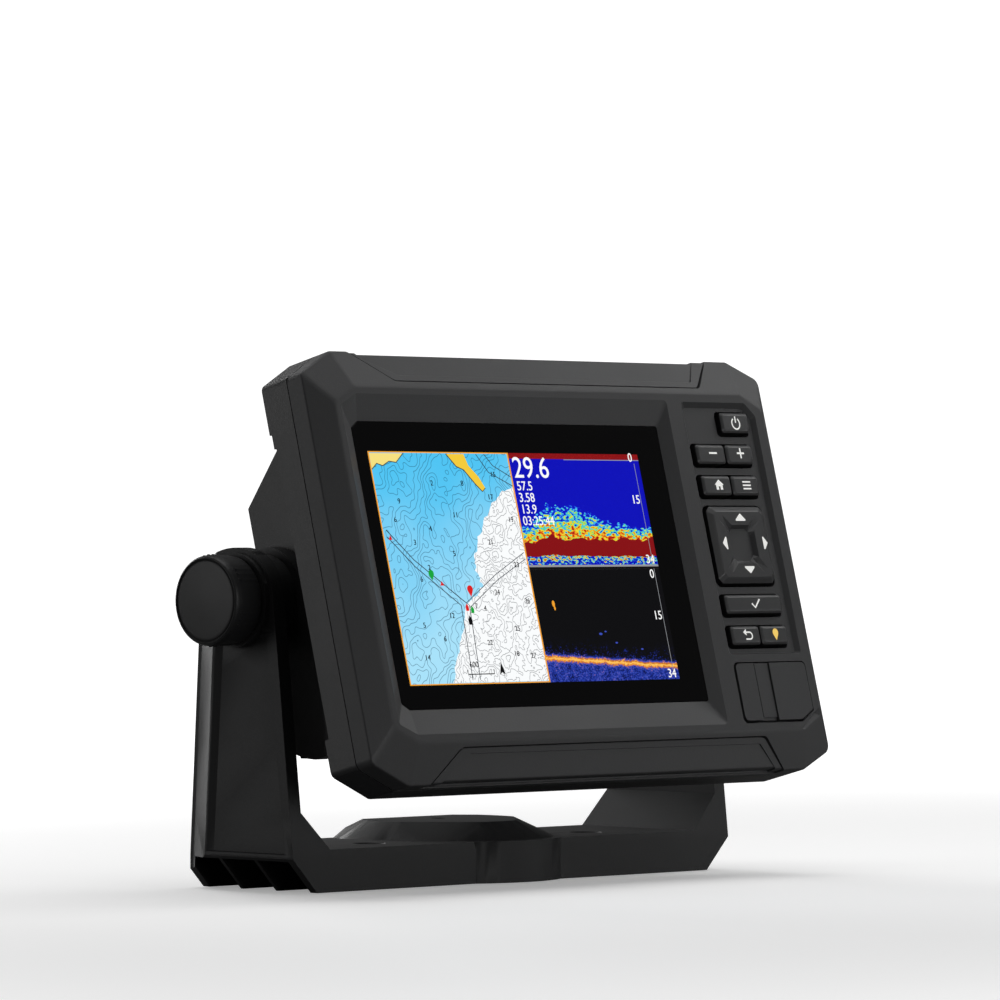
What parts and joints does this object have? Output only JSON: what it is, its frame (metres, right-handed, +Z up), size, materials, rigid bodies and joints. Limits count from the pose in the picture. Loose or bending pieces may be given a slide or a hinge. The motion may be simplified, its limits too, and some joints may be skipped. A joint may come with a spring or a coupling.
{
  "type": "fish finder",
  "caption": "Boat fish finder: keyed display head that tilts in a bail bracket between two clamping knobs, with push keys, an arrow rocker and a hinged memory card door.",
  "frame": {"origin": "middle of the underside of the bracket, in the plane the base rests on, straight below the clamp axis", "axes": "+Z up, -Y the way the screen faces, +X to the right as the user sees it, along the clamp axis"},
  "size_m": [0.1996, 0.0811, 0.1455],
  "materials": {
    "body_plastic": "moulded charcoal plastic, fine matte grain",
    "dark_plastic": "moulded black plastic, fine matte grain",
    "keycap_plastic": "satin moulded keys",
    "rubber": "black rubber",
    "cover_glass": "optically bonded cover glass, printed black round the display",
    "display": "lit colour display",
    "circuit_board": "green circuit board",
    "steel": "stainless steel",
    "brass": "nickel-brass",
    "ceramic": "cream ceramic"
  },
  "bodies": {
    "bracket": {"bail_bracket": "body_plastic"},
    "head": {"front_bezel": "body_plastic", "top_trim": "body_plastic", "bottom_trim": "body_plastic", "rear_housing": "dark_plastic", "cradle": "dark_plastic", "display_lens": "cover_glass", "power_socket": "dark_plastic", "sonar_socket": "dark_plastic", "card_door_strip": "body_plastic", "display_panel": "display", "lens_tape": "rubber", "backlight_frame": "steel", "main_board": "circuit_board", "gnss_antenna": "ceramic", "beeper": "rubber", "keypad_mat": "rubber", "keypad_board": "circuit_board", "housing_seal": "rubber", "card_socket": "steel", "power_contacts": "brass", "sonar_contacts": "brass", "latch_pin": "steel", "latch_spring": "steel", "housing_screw_left_top": "steel", "housing_screw_left_middle": "steel", "housing_screw_left_bottom": "steel", "housing_screw_right_top": "steel", "housing_screw_right_middle": "steel", "housing_screw_right_bottom": "steel", "friction_washer_left": "rubber", "friction_washer_right": "rubber", "threaded_insert_left": "brass", "threaded_insert_right": "brass"},
    "latch": {"release_latch": "dark_plastic"},
    "washer_left": {"knob_washer_left": "steel"},
    "knob_left": {"knob_left": "body_plastic", "clamp_bolt_left": "steel"},
    "washer_right": {"knob_washer_right": "steel"},
    "knob_right": {"knob_right": "body_plastic", "clamp_bolt_right": "steel"},
    "rocker_pivot": {"rocker_pivot": "rubber"},
    "rocker": {"arrow_rocker": "keycap_plastic"},
    "card_door": {"card_door_flap": "body_plastic", "card_door_seal": "rubber"},
    "memory_card": {"memory_card": "rubber"},
    "key_power": {"key_power": "keycap_plastic"},
    "key_zoom_out": {"key_zoom_out": "keycap_plastic"},
    "key_zoom_in": {"key_zoom_in": "keycap_plastic"},
    "key_home": {"key_home": "keycap_plastic"},
    "key_menu": {"key_menu": "keycap_plastic"},
    "key_select": {"key_select": "keycap_plastic"},
    "key_back": {"key_back": "keycap_plastic"},
    "key_mark": {"key_mark": "keycap_plastic"}
  },
  "joints": [
    {"name": "head_tilt", "type": "hinge", "parent": "bracket", "child": "head", "pos_m": [0, 0, 0.0788], "axis": [-1, 0, 0], "range_deg": [-14.6, 45]},
    {"name": "knob_left_travel", "type": "slide", "parent": "head", "child": "washer_left", "axis": [-1, 0, 0], "range_m": [0, 0.00187]},
    {"name": "knob_left_turn", "type": "hinge", "parent": "washer_left", "child": "knob_left", "pos_m": [-0.09, 0, 0.0788], "axis": [-1, 0, 0], "range_deg": [0, 545]},
    {"name": "knob_right_travel", "type": "slide", "parent": "head", "child": "washer_right", "axis": [1, 0, 0], "range_m": [0, 0.00187]},
    {"name": "knob_right_turn", "type": "hinge", "parent": "washer_right", "child": "knob_right", "pos_m": [0.09, 0, 0.0788], "axis": [1, 0, 0], "range_deg": [0, 545]},
    {"name": "latch_press", "type": "hinge", "parent": "head", "child": "latch", "pos_m": [0, -0.00283, 0.05895], "axis": [-1, 0, 0], "range_deg": [0, 10]},
    {"name": "key_power_press", "type": "slide", "parent": "head", "child": "key_power", "axis": [0, 0.9677, -0.2521], "range_m": [0, 0.0008]},
    {"name": "key_zoom_out_press", "type": "slide", "parent": "head", "child": "key_zoom_out", "axis": [0, 0.9677, -0.2521], "range_m": [0, 0.0008]},
    {"name": "key_zoom_in_press", "type": "slide", "parent": "head", "child": "key_zoom_in", "axis": [0, 0.9677, -0.2521], "range_m": [0, 0.0008]},
    {"name": "key_home_press", "type": "slide", "parent": "head", "child": "key_home", "axis": [0, 0.9677, -0.2521], "range_m": [0, 0.0008]},
    {"name": "key_menu_press", "type": "slide", "parent": "head", "child": "key_menu", "axis": [0, 0.9677, -0.2521], "range_m": [0, 0.0008]},
    {"name": "key_select_press", "type": "slide", "parent": "head", "child": "key_select", "axis": [0, 0.9677, -0.2521], "range_m": [0, 0.0008]},
    {"name": "key_back_press", "type": "slide", "parent": "head", "child": "key_back", "axis": [0, 0.9677, -0.2521], "range_m": [0, 0.0008]},
    {"name": "key_mark_press", "type": "slide", "parent": "head", "child": "key_mark", "axis": [0, 0.9677, -0.2521], "range_m": [0, 0.0008]},
    {"name": "rocker_up_down", "type": "hinge", "parent": "head", "child": "rocker_pivot", "pos_m": [0.068, -0.0393, 0.09232], "axis": [1, 0, 0], "range_deg": [-2.5, 2.5]},
    {"name": "rocker_left_right", "type": "hinge", "parent": "rocker_pivot", "child": "rocker", "pos_m": [0.068, -0.0393, 0.09232], "axis": [0, 0.2521, 0.9677], "range_deg": [-2.5, 2.5]},
    {"name": "card_door_swing", "type": "hinge", "parent": "head", "child": "card_door", "pos_m": [0.0691, -0.05575, 0.05259], "axis": [0, -0.2521, -0.9677], "range_deg": [0, 110]},
    {"name": "memory_card_push", "type": "slide", "parent": "head", "child": "memory_card", "axis": [0, 0.9677, -0.2521], "range_m": [0, 0.0008]}
  ],
  "couplings": [
    {"joint": "knob_left_turn", "follows": "knob_left_travel", "rad_per_m": 5026.5},
    {"joint": "knob_right_turn", "follows": "knob_right_travel", "rad_per_m": 5026.5}
  ]
}
